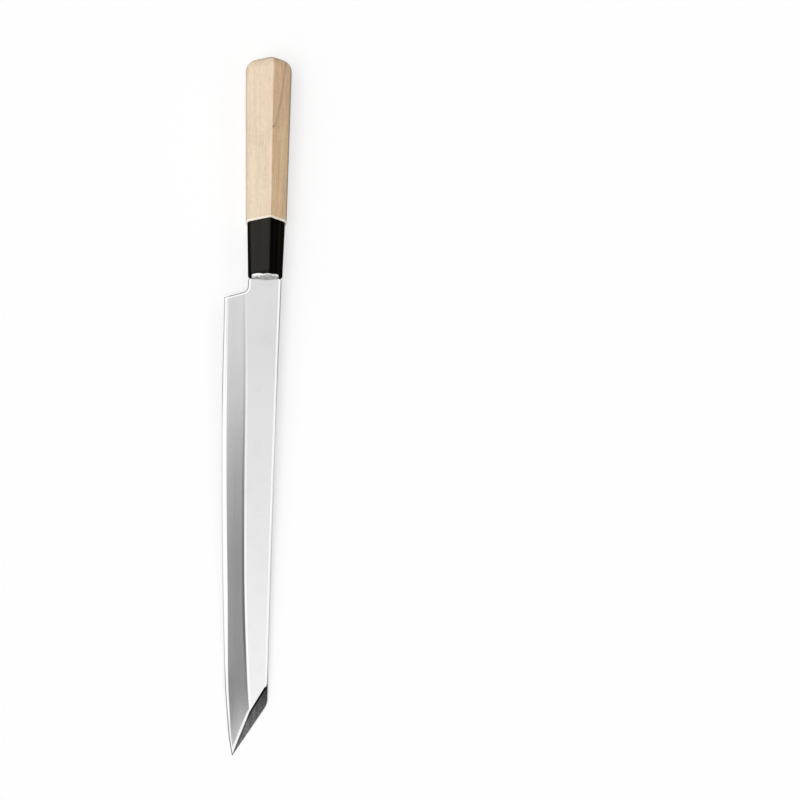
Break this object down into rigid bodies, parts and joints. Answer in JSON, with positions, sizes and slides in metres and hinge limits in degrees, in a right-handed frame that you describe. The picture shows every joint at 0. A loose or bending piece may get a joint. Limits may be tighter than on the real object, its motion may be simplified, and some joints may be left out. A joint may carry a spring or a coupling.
{
  "type": "yanagiba knife",
  "caption": "Long single-bevel slicing knife with a clipped point, a hollow-ground back, a dark horn ferrule and a ridged wooden handle.",
  "frame": {"origin": "on the flat back of the blade where the neck begins, level with the heel corner and on the middle line of the handle", "axes": "+Y along the knife toward the butt, +X across the blade toward the spine, +Z out of the bevelled face; the flat back of the blade faces -Z"},
  "size_m": [0.0391, 0.457, 0.022],
  "materials": {
    "blade_steel": "polished flat face, fine lengthwise ground bevel",
    "ferrule_horn": "polished dark horn",
    "handle_wood": "bare sanded magnolia wood",
    "seal_resin": "cured resin"
  },
  "bodies": {
    "root": {"blade": "blade_steel", "ferrule": "ferrule_horn", "handle_body": "handle_wood", "mouth_seal": "seal_resin"}
  },
  "joints": []
}
